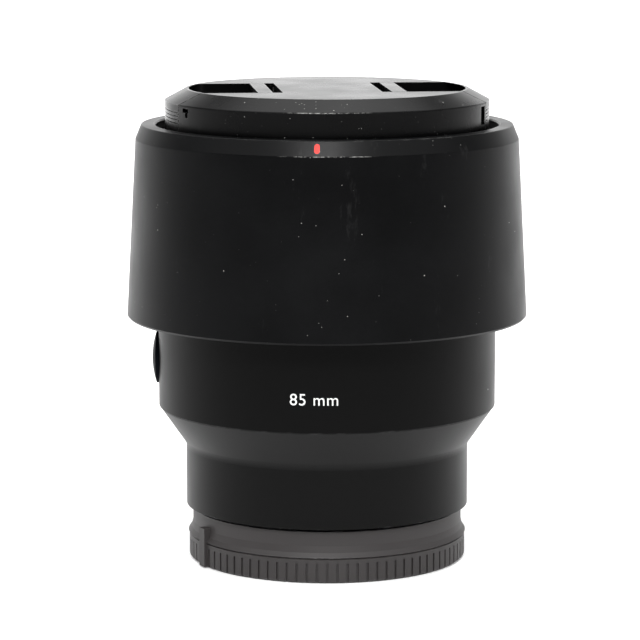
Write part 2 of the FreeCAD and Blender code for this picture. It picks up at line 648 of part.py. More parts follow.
def make_iris():
    pivots = [FULL_TURN / BLADE_COUNT * blade for blade in range(BLADE_COUNT)]
    rest = (BLADE_PIVOT + DRIVE_OFFSET[0], DRIVE_OFFSET[1])
    floor, ring_floor, ring_top, cover_floor = 58.4, 60.1, 60.9, 61.3
    base = turned("iris_base_turned", [
        (dims.iris_opening + 0.2, 57.2), (dims.chassis_bore, 57.2), (dims.chassis_bore, 62.3), (31.8, 62.3),
        (31.8, floor), (dims.iris_opening + 0.2, floor)])
    holes = [disc(f"iris_base_hole_{index}", 0.55, 57.0, 59.0, polar(BLADE_PIVOT, angle))
             for index, angle in enumerate(pivots)]
    node("iris_base", cut("iris_base_cut", base, *holes))
    cover = turned("iris_cover_turned", [
        (19.5, cover_floor), (31.8, cover_floor), (31.8, 62.3), (19.5, 62.3)])
    centre = polar(PINION_CENTRE, PINION_ANGLE)
    node("iris_cover", cut("iris_cover_cut", cover, disc("iris_cover_hole", 0.6, 61.0, 62.6, centre)))
    for index, angle in enumerate(pivots):
        level = BLADE_LEVEL + BLADE_STEP * index
        sheet = plate(f"iris_blade_sheet_{index + 1}", blade_wire(), level, BLADE_THICKNESS)
        pivot_pin = disc(f"iris_pivot_pin_{index + 1}", 0.5, 57.5, level + BLADE_THICKNESS, (BLADE_PIVOT, 0.0))
        drive_pin = disc(f"iris_drive_pin_{index + 1}", DRIVE_PIN, level, ring_top - 0.1, rest)
        blade = join(f"iris_blade_joined_{index + 1}", sheet, pivot_pin, drive_pin)
        node(f"iris_blade_{index + 1}", turned_to(blade, angle))
    ring = turned("iris_ring_turned", [(26.5, ring_floor), (31.72, ring_floor), (31.72, ring_top), (26.5, ring_top)])
    slots = [turned_to(plate(f"iris_ring_slot_{index}", slot_wire(), ring_floor - 0.5, 2.0), angle)
             for index, angle in enumerate(pivots)]
    pitch = FULL_TURN / RING_TEETH
    teeth = [plate(f"iris_ring_tooth_{index}", ring_tooth_wire(PINION_ANGLE + pitch * (index - 8.5)),
                   ring_floor, ring_top - ring_floor) for index in range(12)]
    node("iris_ring", join("iris_ring_joined", cut("iris_ring_cut", ring, *slots), *teeth))
    gear = plate("iris_pinion_gear", pinion_wire(), ring_floor, ring_top - ring_floor)
    gear.Placement.Base = VEC(centre[0], centre[1], ring_floor)
    shaft = disc("iris_pinion_shaft", 0.5, ring_floor, 64.0, centre)
    node("iris_pinion", join("iris_pinion_joined", gear, shaft))
    motor = disc("iris_motor_can", 2.6, 62.3, 68.2, centre)
    node("iris_motor", cut("iris_motor_cut", motor, disc("iris_motor_bore", 0.6, 62.0, 64.4, centre)))


# ---- focusing group and its linear motors ----------------------------------------------------------

ROD_CIRCLE = 26.5
ROD_ANGLES = (45.0, 225.0)
COIL_ANGLES = (135.0, 315.0)


def make_focus_group():
    bore = dims.focus_glass_radius
    tube = turned("focus_cell_tube", [
        (15.5, 35.4), (18.6, 35.4), (18.6, 52.1), (bore, 52.1), (bore, 36.2), (15.5, 36.2)])
    arms, rod_holes = [], []
    for angle in ROD_ANGLES:
        arms.append(block(f"focus_arm_{angle:.0f}", (18.0, ROD_CIRCLE), (-1.6, 1.6), (40.5, 45.5), angle))
        arms.append(disc(f"focus_boss_{angle:.0f}", 2.2, 39.0, 47.0, polar(ROD_CIRCLE, angle)))
        rod_holes.append(disc(f"focus_rod_hole_{angle:.0f}", 1.06, 38.5, 47.5, polar(ROD_CIRCLE, angle)))
    for angle in COIL_ANGLES:
        arms.append(block(f"focus_bracket_{angle:.0f}", (18.0, 23.6), (-5.0, 5.0), (42.5, 43.9), angle))
    node("focus_cell", cut("focus_cell_cut", join("focus_cell_blank", tube, *arms), *rod_holes))
    rods = [disc(f"guide_rod_{angle:.0f}", 1.0, 35.0, 57.2, polar(ROD_CIRCLE, angle)) for angle in ROD_ANGLES]
    node("guide_rods", group("guide_rod_group", *rods))
    coils, yokes = [], []
    for angle in COIL_ANGLES:
        outer = block(f"coil_outside_{angle:.0f}", (23.6, 28.2), (-6.0, 6.0), (40.5, 46.5), angle)
        inner = block(f"coil_inside_{angle:.0f}", (24.8, 27.0), (-4.6, 4.6), (39.5, 47.5), angle)
        coils.append(cut(f"coil_{angle:.0f}", outer, inner))
        plates = block(f"yoke_blank_{angle:.0f}", (25.2, 30.6), (-4.2, 4.2), (35.0, 57.2), angle)
        gap = block(f"yoke_gap_{angle:.0f}", (26.6, 28.6), (-5.0, 5.0), (36.4, 55.8), angle)
        yokes.append(cut(f"yoke_{angle:.0f}", plates, gap))
    node("focus_coils", group("coil_group", *coils))
    node("magnet_yokes", group("yoke_group", *yokes))


# ---- controls -------------------------------------------------------------------------------------

def make_controls():
    apex, dome_radius = 38.25, 18.0
    stem = spoke("button_stem", dims.button_radius, BUTTON_LEVEL, 33.3, apex, BUTTON_ANGLE)
    lip = spoke("button_lip", dims.button_radius + 0.55, BUTTON_LEVEL, 33.3, 34.0, BUTTON_ANGLE)
    crown = doc.addObject("Part::Sphere", "button_crown")
    crown.Radius = dome_radius
    centre = polar(apex - dome_radius, BUTTON_ANGLE)
    crown.Placement.Base = VEC(centre[0], centre[1], BUTTON_LEVEL)
    node("focus_hold_button", overlap("button_crowned", join("button_blank", stem, lip), crown))
    board = block("button_board", (30.9, 31.7), (-6.2, 6.2), (37.8, 51.2), BUTTON_ANGLE)
    key = spoke("button_key", 2.4, BUTTON_LEVEL, 31.7, 32.5, BUTTON_ANGLE)
    node("button_switch", join("button_switch_joined", board, key))
    bezel = sector("switch_bezel", 36.2, 37.05, 38.0, 51.0, SWITCH_ANGLE, 9.0)
    slot = block("switch_bezel_slot", (33.5, 40.0), (-1.7, 1.7), (41.2, 48.6), SWITCH_ANGLE)
    node("mode_switch_plate", cut("switch_bezel_cut", bezel, slot))
    knob = block("switch_knob", (35.0, 38.1), (-1.55, 1.55), (41.4, 45.0), SWITCH_ANGLE)
    grips = [block(f"switch_grip_{index}", (37.8, 38.5), (-2.0, 2.0), (level, level + 0.3), SWITCH_ANGLE)
             for index, level in enumerate((42.2, 43.05, 43.9))]
    node("mode_switch_knob", cut("switch_knob_cut", knob, *grips))


# ---- front cap ------------------------------------------------------------------------------------

CAP_ANGLE = 5.5
LATCH_HALF_WIDTH = 12.2
LATCH_PLAY = 0.35
WELL_START = 10.6            # end of a finger well nearest the lens axis
WELL_HALF_WIDTH = LATCH_HALF_WIDTH + LATCH_PLAY
WELL_WALL = 1.0
BAR_START, BAR_END = 12.75, 15.9   # the grip bar of a latch, from the lens axis
SIDES = (("right", 0.0), ("left", 180.0))


def make_front_cap():
    start = dims.cap_start - 0.15
    well, wall = WELL_HALF_WIDTH, WELL_HALF_WIDTH + WELL_WALL
    shell = turned("front_cap_shell", [
        (33.9, start), (dims.cap_radius, start), (dims.cap_radius, dims.cap_bevel_level),
        (dims.cap_face_radius, dims.cap_face_level), (0, dims.cap_face_level), (0, 101.3), (29.8, 101.3),
        (33.9, 99.4)])
    rounded(shell, 0.35, (dims.cap_face_radius, dims.cap_face_level), (dims.cap_radius, dims.cap_bevel_level))
    windows, walls, well_levels = [], [], (97.7, 101.6)
    for side, turn in SIDES:
        reach = block(f"cap_window_{side}_box", (WELL_START, 36.0), (-well, well), (96.0, 104.0), turn)
        disk = disc(f"cap_window_{side}_disc", dims.cap_face_radius - 0.35, 95.0, 105.0)
        windows.append(overlap(f"cap_window_{side}", reach, disk))
        windows.append(block(f"cap_latch_gap_{side}", (20.0, 37.0), (-well, well), (92.0, 104.0), turn))
        end = (WELL_START - WELL_WALL, WELL_START)
        walls.append(block(f"cap_end_wall_{side}", end, (-wall, wall), well_levels, turn))
        for name, low, high in (("near", -wall, -well), ("far", well, wall)):
            walls.append(block(f"cap_side_wall_{side}_{name}", (WELL_START, 29.0), (low, high), well_levels, turn))
    windows.append(block("cap_wall_notch", (33.0, 36.0), (-1.2, 1.2), (98.9, 99.8), 180.0 + 26.0))
    windows.append(block("cap_wall_notch_leg", (33.0, 36.0), (-0.2, 0.9), (97.8, 99.0), 180.0 + 26.0))
    windows.append(block("cap_wall_slot", (33.0, 36.0), (-1.4, 1.4), (95.8, 99.7), -24.5))
    cover = join("front_cap_cover", cut("front_cap_opened", shell, *windows), *walls)
    node("front_cap_body", turned_to(cover, CAP_ANGLE))
    for side, turn in SIDES:
        make_latch(side, turn)
    make_cap_back()


def make_latch(side, turn):
    grooves = []
    for groove in range(4):
        level = 96.3 + 0.75 * groove
        grooves += [(dims.cap_radius, level), (dims.cap_radius - 0.25, level + 0.12),
                    (dims.cap_radius - 0.25, level + 0.3), (dims.cap_radius, level + 0.42)]
    skin = turned(f"latch_{side}_skin", [
        (34.0, 93.45), (dims.cap_radius, 93.45), *grooves, (dims.cap_radius, dims.cap_bevel_level),
        (dims.cap_face_radius, dims.cap_face_level), (29.95, dims.cap_face_level), (33.2, 99.4),
        (33.2, 96.0), (34.0, 96.0)])
    half = LATCH_HALF_WIDTH
    front = overlap(f"latch_{side}_front", skin,
                    block(f"latch_{side}_span", (20.0, 37.0), (-half, half), (92.0, 104.0), turn))
    floor = overlap(f"latch_{side}_floor",
                    disc(f"latch_{side}_disc", 33.6, 95.9, 97.4),
                    block(f"latch_{side}_slab", (8.5, 36.0), (-13.2, 13.2), (95.0, 98.0), turn))
    bar = block(f"latch_{side}_bar", (BAR_START, BAR_END), (-half, half), (97.0, dims.cap_face_level), turn)
    claw = sector(f"latch_{side}_claw", 31.8, 33.0, 91.7, 96.2, turn, 14.5)
    node(f"front_cap_latch_{side}", turned_to(join(f"latch_{side}_joined", front, floor, bar, claw), CAP_ANGLE))


def make_cap_back():
    floor = turned("cap_back_turned", [
        (0, 94.3), (31.4, 94.3), (31.4, 91.8), (32.9, 91.8), (32.9, 94.3), (33.9, 94.3), (33.9, 95.6), (0, 95.6)])
    half = LATCH_HALF_WIDTH + LATCH_PLAY
    gaps = [block(f"cap_back_gap_{side}", (28.3, 35.0), (-half, half), (90.0, 97.0), turn) for side, turn in SIDES]
    post = block("cap_back_post", (-1.5, 1.5), (-3.0, 3.0), (95.5, 98.0))
    node("front_cap_back", turned_to(join("cap_back_joined", cut("cap_back_cut", floor, *gaps), post), CAP_ANGLE))
    springs = [spring(f"cap_spring_{side}", turn) for side, turn in SIDES]
    node("front_cap_springs", turned_to(group("cap_spring_group", *springs), CAP_ANGLE))


def spring(name, turn):
    """A compression spring along the pinch direction, from the central post outwards."""
    coil_radius, wire_radius, pitch, length = 0.85, 0.18, 0.85, 4.3
    helix = Part.makeHelix(pitch, length, coil_radius)
    profile = Part.Wire([Part.Circle(VEC(coil_radius, 0, 0), VEC(0, 1, 0), wire_radius).toShape()])
    thing = doc.addObject("Part::Feature", name)
    thing.Shape = Part.Wire(helix.Edges).makePipeShell([profile], True, True)
    lie = FreeCAD.Rotation(Z_AXIS, turn).multiply(FreeCAD.Rotation(VEC(0, 1, 0), 90))
    start = polar(1.5 + wire_radius, turn)
    thing.Placement = FreeCAD.Placement(VEC(start[0], start[1], 96.65), lie)
    return thing


# ---- make, check and write --------------------------------------------------------------------------

def check_and_write():
    doc.recompute()
    for thing in doc.Objects:
        if "Invalid" in thing.State or "Error" in thing.State:
            raise RuntimeError(f"{thing.Label} failed: {thing.State}")
    for thing in nodes:
        if thing.Shape.isNull() or not thing.Shape.isValid() or not thing.Shape.Solids:
            raise RuntimeError(f"{thing.Label} has no valid solid")
    os.makedirs("parts", exist_ok=True)
    for thing in nodes:
        thing.Shape.exportStep(f"parts/{thing.Label}.step")
    print(len(nodes), "nodes written")


for make in (make_rear_barrel, make_main_barrel, make_inner_barrel, make_mount, make_contacts, make_main_board,
             make_rear_cap, make_front_ring, make_hood, make_focus_ring, make_optics, make_cells, make_iris,
             make_focus_group, make_controls, make_front_cap):
    make()
check_and_write()
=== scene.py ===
"""Prime camera lens, 85 mm class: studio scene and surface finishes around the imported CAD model.

Metres, in the row frame: +Z along the lens axis, the index marks face -Y, the floor is z = 0.
"""

import json
import math

import bpy
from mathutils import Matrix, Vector


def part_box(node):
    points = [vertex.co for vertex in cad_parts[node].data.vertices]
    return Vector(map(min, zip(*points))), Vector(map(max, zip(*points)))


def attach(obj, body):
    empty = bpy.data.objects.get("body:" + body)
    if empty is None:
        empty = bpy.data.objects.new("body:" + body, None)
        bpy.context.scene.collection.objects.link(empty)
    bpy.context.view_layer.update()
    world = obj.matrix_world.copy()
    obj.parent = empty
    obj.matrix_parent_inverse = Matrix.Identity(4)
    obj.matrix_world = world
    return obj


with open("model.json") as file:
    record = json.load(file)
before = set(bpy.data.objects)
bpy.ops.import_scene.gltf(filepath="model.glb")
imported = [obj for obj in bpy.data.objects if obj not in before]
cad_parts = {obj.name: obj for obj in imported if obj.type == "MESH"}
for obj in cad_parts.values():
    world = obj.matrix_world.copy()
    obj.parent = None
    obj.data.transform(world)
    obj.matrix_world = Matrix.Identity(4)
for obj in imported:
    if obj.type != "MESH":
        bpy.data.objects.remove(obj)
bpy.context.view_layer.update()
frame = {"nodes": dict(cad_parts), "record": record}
MM = 0.001


# ---- camera, floor and light ----------------------------------------------------------------------

CAMERA_PLACE = (-0.00153, -0.68473, 0.15864)
CAMERA_PITCH = 81.14          # degrees from looking straight down
CAMERA_LENS = 178.2           # focal length in mm on a 36 mm sensor
FLOOR_RADIUS = 5.0
FLOOR_SEGMENTS = 96
FLOOR_GLOW = 0.14

# Softboxes: place, aim, size and power, then how far the light spreads in degrees.
BACK_SOFTBOX = ((0.0, 1.8, 1.5), (0.0, 1.8001, 0.0), (3.6, 3.0), 40.0, 95.0)
FRONT_SOFTBOX = ((-0.04, -0.98, 0.86), (0.0, 0.0, 0.08), (0.55, 0.24), 0.42, 27.0)

# The studio's light by direction: (share of the way from low to high, level).
BACKDROP_BY_DEPTH = ((0.0, 0.02), (0.3, 0.05), (0.5, 0.11), (0.75, 0.38), (0.93, 0.95), (1.0, 1.2))
BACKDROP_BY_HEIGHT = ((0.0, 1.0), (0.5, 1.0), (0.57, 1.65), (0.64, 1.65), (0.78, 0.15), (1.0, 0.0))
CEILING_BY_HEIGHT = ((0.0, 0.0), (0.78, 0.04), (0.93, 0.7), (1.0, 1.4))
FRONT_BY_DEPTH = ((0.0, 1.0), (0.45, 0.9), (0.62, 0.0), (1.0, 0.0))
FRONT_BY_HEIGHT = ((0.0, 0.0), (0.68, 0.0), (0.77, 2.3), (0.82, 1.9), (0.88, 0.8), (1.0, 0.4))

# Sockets of a Mix node that blends colours.
MIX_FIRST, MIX_SECOND, MIX_RESULT = 6, 7, 2


def make_camera():
    data = bpy.data.cameras.new("camera")
    data.lens = CAMERA_LENS
    data.sensor_width = 36.0
    data.clip_start, data.clip_end = 0.05, 20.0
    camera = bpy.data.objects.new("camera", data)
    camera.location = CAMERA_PLACE
    camera.rotation_euler = (math.radians(CAMERA_PITCH), 0.0, 0.0)
    bpy.context.scene.collection.objects.link(camera)
    bpy.context.scene.camera = camera


def make_floor():
    """A wide pale disc that runs out past the picture on every side."""
    turn = 2.0 * math.pi / FLOOR_SEGMENTS
    rim = [(FLOOR_RADIUS * math.cos(turn * k), FLOOR_RADIUS * math.sin(turn * k), 0.0)
           for k in range(FLOOR_SEGMENTS)]
    mesh = bpy.data.meshes.new("floor")
    mesh.from_pydata(rim, [], [list(range(FLOOR_SEGMENTS))])
    floor = bpy.data.objects.new("floor", mesh)
    bpy.context.scene.collection.objects.link(floor)
    floor.data.materials.append(floor_paper())


def make_softbox(name, place, aim, size, power, spread):
    data = bpy.data.lights.new(name, "AREA")
    data.shape = "RECTANGLE"
    data.size, data.size_y = size
    data.energy = power
    data.spread = math.radians(spread)
    light = bpy.data.objects.new(name, data)
    light.location = place
    light.rotation_euler = (Vector(aim) - Vector(place)).to_track_quat("-Z", "Y").to_euler()
    bpy.context.scene.collection.objects.link(light)


def grey_ramp(tree, source, low, high, steps):
    """A grey level that follows steps of (share of the way from low to high, level)."""
    span = tree.nodes.new("ShaderNodeMapRange")
    span.inputs["From Min"].default_value = low
    span.inputs["From Max"].default_value = high
    ramp = tree.nodes.new("ShaderNodeValToRGB")
    ramp.color_ramp.interpolation = "EASE"
    for index, (position, grey) in enumerate(steps):
        stops = ramp.color_ramp.elements
        element = stops[index] if index < 2 else stops.new(position)
        element.position = position
        element.color = (grey, grey, grey, 1.0)
    tree.links.new(source, span.inputs["Value"])
    tree.links.new(span.outputs["Result"], ramp.inputs["Fac"])
    return ramp.outputs["Color"]


def make_world():
    """A white studio: a bright backdrop, a soft ceiling, and a light band high above a dim front."""
    world = bpy.data.worlds.new("studio")
    bpy.context.scene.world = world
    world.use_nodes = True
    tree = world.node_tree
    tree.nodes.clear()
    coords = tree.nodes.new("ShaderNodeTexCoord")
    parts = tree.nodes.new("ShaderNodeSeparateXYZ")
    tree.links.new(coords.outputs["Generated"], parts.inputs["Vector"])
    depth, height = parts.outputs["Y"], parts.outputs["Z"]

    def ramp(source, steps):
        return grey_ramp(tree, source, -1.0, 1.0, steps)

    def blend(kind, first, second):
        made = tree.nodes.new("ShaderNodeMix")
        made.data_type, made.blend_type = "RGBA", kind
        made.inputs["Factor"].default_value = 1.0
        tree.links.new(first, made.inputs[MIX_FIRST])
        tree.links.new(second, made.inputs[MIX_SECOND])
        return made.outputs[MIX_RESULT]

    backdrop = blend("MULTIPLY", ramp(depth, BACKDROP_BY_DEPTH), ramp(height, BACKDROP_BY_HEIGHT))
    ceiling = ramp(height, CEILING_BY_HEIGHT)
    front = blend("MULTIPLY", ramp(depth, FRONT_BY_DEPTH), ramp(height, FRONT_BY_HEIGHT))
    background = tree.nodes.new("ShaderNodeBackground")
    output = tree.nodes.new("ShaderNodeOutputWorld")
    tree.links.new(blend("ADD", blend("ADD", backdrop, ceiling), front), background.inputs["Color"])
    tree.links.new(background.outputs["Background"], output.inputs["Surface"])
    bpy.context.scene.view_settings.view_transform = "Standard"


# ---- node helpers -----------------------------------------------------------------------------------

class Finish:
    """A procedural material: short calls that add nodes and return their output sockets."""

    def __init__(self, name):
        self.material = bpy.data.materials.new(name)
        self.material.use_nodes = True
        self.tree = self.material.node_tree
        self.shader = self.tree.nodes["Principled BSDF"]
        coords = self.add("ShaderNodeTexCoord")
        self.place = coords.outputs["Object"]

    def add(self, kind, links=None, values=None, **settings):
        made = self.tree.nodes.new(kind)
        for key, value in settings.items():
            setattr(made, key, value)
        for key, value in (values or {}).items():
            made.inputs[key].default_value = value
        for key, source in (links or {}).items():
            self.tree.links.new(source, made.inputs[key])
        return made

    def stretched(self, scale):
        """Object coordinates, in metres, scaled along each axis."""
        return self.add("ShaderNodeMapping", {"Vector": self.place}, {"Scale": scale}).outputs["Vector"]

    def noise(self, per_metre, detail=3.0, rough=0.55, where=None):
        made = self.add("ShaderNodeTexNoise", {"Vector": where or self.place},
                        {"Scale": per_metre, "Detail": detail, "Roughness": rough})
        return made.outputs["Fac"]

    def fade(self, value, low, high, out_low=0.0, out_high=1.0):
        made = self.add("ShaderNodeMapRange", {"Value": value},
                        {"From Min": low, "From Max": high, "To Min": out_low, "To Max": out_high})
        return made.outputs["Result"]

    def math(self, operation, first, second):
        made = self.add("ShaderNodeMath", operation=operation)
        for socket, value in zip(made.inputs, (first, second)):
            if isinstance(value, float):
                socket.default_value = value
            else:
                self.tree.links.new(value, socket)
        return made.outputs["Value"]

    def mix(self, factor, first, second):
        """Blend of two colours, each a tuple or a socket."""
        made = self.add("ShaderNodeMix", data_type="RGBA")
        self.tree.links.new(factor, made.inputs["Factor"])
        for socket, colour in ((made.inputs[MIX_FIRST], first), (made.inputs[MIX_SECOND], second)):
            if isinstance(colour, tuple):
                socket.default_value = (*colour, 1.0)
            else:
                self.tree.links.new(colour, socket)
        return made.outputs[MIX_RESULT]

    def specks(self, cells_per_metre, share, size):
        """Small dots in a random share of cells; size is a part of a cell."""
        cells = self.add("ShaderNodeTexVoronoi", {"Vector": self.place}, {"Scale": cells_per_metre})
        parts = self.add("ShaderNodeSeparateColor", {"Color": cells.outputs["Color"]})
        near = self.fade(cells.outputs["Distance"], size, size * 0.5)
        chosen = self.fade(parts.outputs["Red"], 1.0 - share, 1.0 - share + 0.001)
        return self.math("MULTIPLY", near, chosen)

    def edges(self, reach, low=0.02, high=0.12):
        """1 along outside edges, where the rounded normal leaves the true one."""
        soft = self.add("ShaderNodeBevel", values={"Radius": reach}, samples=4)
        true = self.add("ShaderNodeNewGeometry")
        dot = self.add("ShaderNodeVectorMath", operation="DOT_PRODUCT")
        self.tree.links.new(soft.outputs["Normal"], dot.inputs[0])
        self.tree.links.new(true.outputs["Normal"], dot.inputs[1])
        return self.fade(dot.outputs["Value"], 1.0 - low, 1.0 - high)

    def above(self, level, reach=2.0 * MM):
        """1 above a level on the lens axis, fading to 0 over the reach below it."""
        height = self.add("ShaderNodeSeparateXYZ", {"Vector": self.place}).outputs["Z"]
        return self.fade(height, level - reach, level)

    def below(self, level, reach):
        """1 below a level on the lens axis, fading to 0 over the reach above it."""
        height = self.add("ShaderNodeSeparateXYZ", {"Vector": self.place}).outputs["Z"]
        return self.fade(height, level + reach, level)

    def front(self, half_width):
        """1 on the side of the index marks, fading to 0 away from the middle."""
        parts = self.add("ShaderNodeSeparateXYZ", {"Vector": self.place})
        across = self.fade(self.math("ABSOLUTE", parts.outputs["X"], 0.0), half_width, half_width * 0.5)
        return self.math("MULTIPLY", across, self.fade(parts.outputs["Y"], -0.5 * half_width, -half_width))

    def rings(self, per_metre):
        """Concentric turning marks: noise by distance from the lens axis and by level."""
        parts = self.add("ShaderNodeSeparateXYZ", {"Vector": self.place})
        radius = self.math("POWER", self.math("ADD", self.math("POWER", parts.outputs["X"], 2.0),
                                              self.math("POWER", parts.outputs["Y"], 2.0)), 0.5)
        joined = self.add("ShaderNodeCombineXYZ", {"X": radius, "Z": parts.outputs["Z"]})
        return self.noise(per_metre, 4.0, 0.7, joined.outputs["Vector"])

    def bump(self, height, depth, under=None):
        links = {"Height": height}
        if under:
            links["Normal"] = under
        made = self.add("ShaderNodeBump", links, {"Strength": 1.0, "Distance": depth})
        return made.outputs["Normal"]

    def finish(self, colour, roughness, normal, **constants):
        for key, socket in (("Base Color", colour), ("Roughness", roughness), ("Normal", normal)):
            self.tree.links.new(socket, self.shader.inputs[key])
        for key, value in constants.items():
            self.shader.inputs[key.replace("_", " ")].default_value = value
        return self.material


# ---- finishes ---------------------------------------------------------------------------------------

PAINTED_REFLECTION_LEVEL = 26.4 * MM         # just above the foot of the rear barrel cone, where the painted reflection of the bright floor begins
RIM_LEVEL = 90.0 * MM           # the hood is rubbed on its top rim, not on the lip
SHOULDER_LEVEL = 6.2 * MM       # the rear cap is rubbed on its shoulder, not on its ribs
HANDLED_HALF_WIDTH = 13.0 * MM  # the front, where most of the dust lies

# Painted highlight lines: a painted glint along an edge at the front, where a lamp's highlight falls,
# broken up by noise. From level, to level and half width.
CAP_PAINTED_GLINT = (100.26 * MM, 100.38 * MM, 9.5 * MM)
HOOD_PAINTED_GLINT = (91.9 * MM, 92.03 * MM, 10.5 * MM)
REAR_CAP_PAINTED_GLINT = (5.45 * MM, 5.6 * MM, 3.2 * MM)
GLINT_FADE = 0.06 * MM

RUBBED_GREY = (0.36, 0.36, 0.35)
# pale grey of the painted glint lines, a painted highlight
PAINTED_GLINT_GREY = (0.24, 0.24, 0.23)
SCUFF_GREY = (0.10, 0.10, 0.10)
DUST_GREY = (0.40, 0.40, 0.38)
MOULDED_GRAIN = 3500.0          # lumps per metre of the fine grain
MOULDED_DEPTH = 0.000006        # metres


def floor_paper():
    """Pale paper lit a little from below, so that the contact shadow stays faint."""
    paper = Finish("floor_paper")
    tone = paper.mix(paper.noise(40.0), (0.90, 0.90, 0.90), (0.93, 0.93, 0.93))
    return paper.finish(tone, paper.fade(paper.noise(900.0), 0.3, 0.7, 0.85, 0.95),
                        paper.bump(paper.noise(2500.0), 0.00005), Specular_IOR_Level=0.1,
                        Emission_Color=(1.0, 1.0, 1.0, 1.0), Emission_Strength=FLOOR_GLOW)


def moulded(name, tone, roughness, dust, worn, specular, smear=0.3, grain=MOULDED_GRAIN,
            worn_above=0.0, painted_glint=None):
    """Black or grey satin plastic: fine grain, cloudy handling marks, dust, rubbed edges and a painted
    highlight line along an edge at the front.

    dust and smear are how much there is, worn is how pale the rubbed edges above a level get, and
    the last argument gives the levels of a painted highlight line, a painted glint along an edge at the
    front.
    """
    skin = Finish(name)
    cloud = skin.noise(60.0, 4.0)
    pale = tuple(channel * (1.0 + smear) + 0.0008 for channel in tone)
    colour = skin.mix(skin.fade(cloud, 0.35, 0.75), tone, pale)
    scuff = skin.fade(skin.noise(160.0, 6.0, 0.75, skin.stretched((1.0, 1.0, 0.25))), 0.62, 0.72, 0.0, 0.12)
    colour = skin.mix(scuff, colour, SCUFF_GREY)
    rim = skin.edges(0.0004)
    patches = skin.fade(skin.noise(420.0, 4.0, 0.7), 0.5, 0.62, 0.0, worn)
    rubbed = skin.math("MULTIPLY", rim, skin.math("MULTIPLY", patches, skin.above(worn_above)))
    colour = skin.mix(rubbed, colour, RUBBED_GREY)
    # painted highlight: a pale broken line along an edge at the front, standing in for a lamp's glint
    if painted_glint:
        low, high, half_width = painted_glint
        broken = skin.fade(skin.noise(800.0, 5.0, 0.8), 0.46, 0.58)
        line = skin.math("MULTIPLY", skin.above(low, GLINT_FADE), skin.below(high, GLINT_FADE))
        line = skin.math("MULTIPLY", line, skin.front(half_width))
        colour = skin.mix(skin.math("MULTIPLY", line, broken), colour, PAINTED_GLINT_GREY)
    near = skin.math("MAXIMUM", skin.fade(skin.noise(38.0, 2.0), 0.48, 0.62, 0.1, 0.6),
                     skin.front(HANDLED_HALF_WIDTH))
    fine_dust = skin.math("MULTIPLY", skin.specks(1700.0, dust, 0.17), near)
    specks = skin.math("MAXIMUM", skin.specks(700.0, dust, 0.11), fine_dust)
    colour = skin.mix(specks, colour, DUST_GREY)
    cloudy = skin.fade(cloud, 0.3, 0.7, roughness - 0.05, roughness + 0.05)
    shine = skin.math("SUBTRACT", cloudy, skin.math("MULTIPLY", rim, 0.1))
    fine = skin.noise(grain, 2.0)
    height = skin.math("ADD", fine, skin.math("MULTIPLY", specks, 3.0))
    return skin.finish(colour, shine, skin.bump(height, MOULDED_DEPTH), Specular_IOR_Level=specular)


def painted_barrel(name, tone, roughness, specular, cone_painted_reflection=None):
    """Painted or anodised metal barrel with a fine sanded grain; the last argument is a paler colour
    painted on the cone above its foot, a painted reflection of the bright floor.
    """
    skin = Finish(name)
    cloud = skin.noise(45.0, 3.0)
    colour = skin.mix(skin.fade(cloud, 0.35, 0.7), tone, tuple(channel * 1.25 for channel in tone))
    if cone_painted_reflection:
        # painted reflection: the cone is paler above its foot, standing in for the bright floor it faces
        colour = skin.mix(skin.above(PAINTED_REFLECTION_LEVEL), colour, cone_painted_reflection)
    edge = skin.math("MULTIPLY", skin.edges(0.0003), skin.fade(skin.noise(350.0, 4.0), 0.5, 0.7, 0.0, 0.5))
    colour = skin.mix(edge, colour, (0.16, 0.16, 0.16))
    specks = skin.specks(520.0, 0.012, 0.12)
    colour = skin.mix(specks, colour, (0.40, 0.40, 0.39))
    shine = skin.fade(cloud, 0.3, 0.7, roughness - 0.04, roughness + 0.04)
    return skin.finish(colour, shine, skin.bump(skin.noise(5200.0, 2.0), 0.000004),
                       Specular_IOR_Level=specular)


def flock():
    felt = Finish("hood_felt")
    pile = felt.noise(9000.0, 3.0)
    colour = felt.mix(felt.fade(pile, 0.3, 0.7), (0.006, 0.006, 0.0065), (0.022, 0.022, 0.023))
    return felt.finish(colour, felt.fade(pile, 0.3, 0.7, 0.9, 1.0), felt.bump(pile, 0.00006),
                       Sheen_Weight=0.35, Sheen_Roughness=0.4, Specular_IOR_Level=0.1)


def filled_paint(name, tone, dirt):
    paint = Finish(name)
    grime = paint.fade(paint.noise(1400.0, 4.0), 0.55, 0.8, 0.0, 0.5)
    return paint.finish(paint.mix(grime, tone, dirt), paint.fade(paint.noise(2200.0), 0.3, 0.7, 0.35, 0.5),
                        paint.bump(paint.noise(3000.0), 0.000008), Specular_IOR_Level=0.12)


def turned_metal(name, tone, darker, roughness):
    metal = Finish(name)
    marks = metal.rings(9000.0)
    colour = metal.mix(metal.fade(marks, 0.3, 0.7), darker, tone)
    shine = metal.fade(metal.noise(250.0, 4.0), 0.3, 0.7, roughness - 0.06, roughness + 0.08)
    return metal.finish(colour, shine, metal.bump(marks, 0.000004), Metallic=1.0)


def lens_interior():
    """Black glass-filled plastic with fine turned baffling lines."""
    skin = Finish("inner_plastic")
    lines = skin.rings(2600.0)
    colour = skin.mix(skin.fade(skin.noise(200.0, 4.0), 0.3, 0.7),
                      (0.008, 0.008, 0.008), (0.016, 0.016, 0.016))
    return skin.finish(colour, skin.fade(lines, 0.3, 0.7, 0.6, 0.8), skin.bump(lines, 0.00002),
                       Specular_IOR_Level=0.25)


def solder_mask():
    board = Finish("circuit_board")
    tracks = board.add("ShaderNodeTexVoronoi", {"Vector": board.place}, {"Scale": 900.0},
                       feature="DISTANCE_TO_EDGE")
    line = board.fade(tracks.outputs["Distance"], 0.04, 0.07)
    colour = board.mix(line, (0.07, 0.22, 0.08), (0.015, 0.09, 0.035))
    return board.finish(colour, board.fade(line, 0.0, 1.0, 0.35, 0.25), board.bump(line, 0.00003),
                        Specular_IOR_Level=0.5)


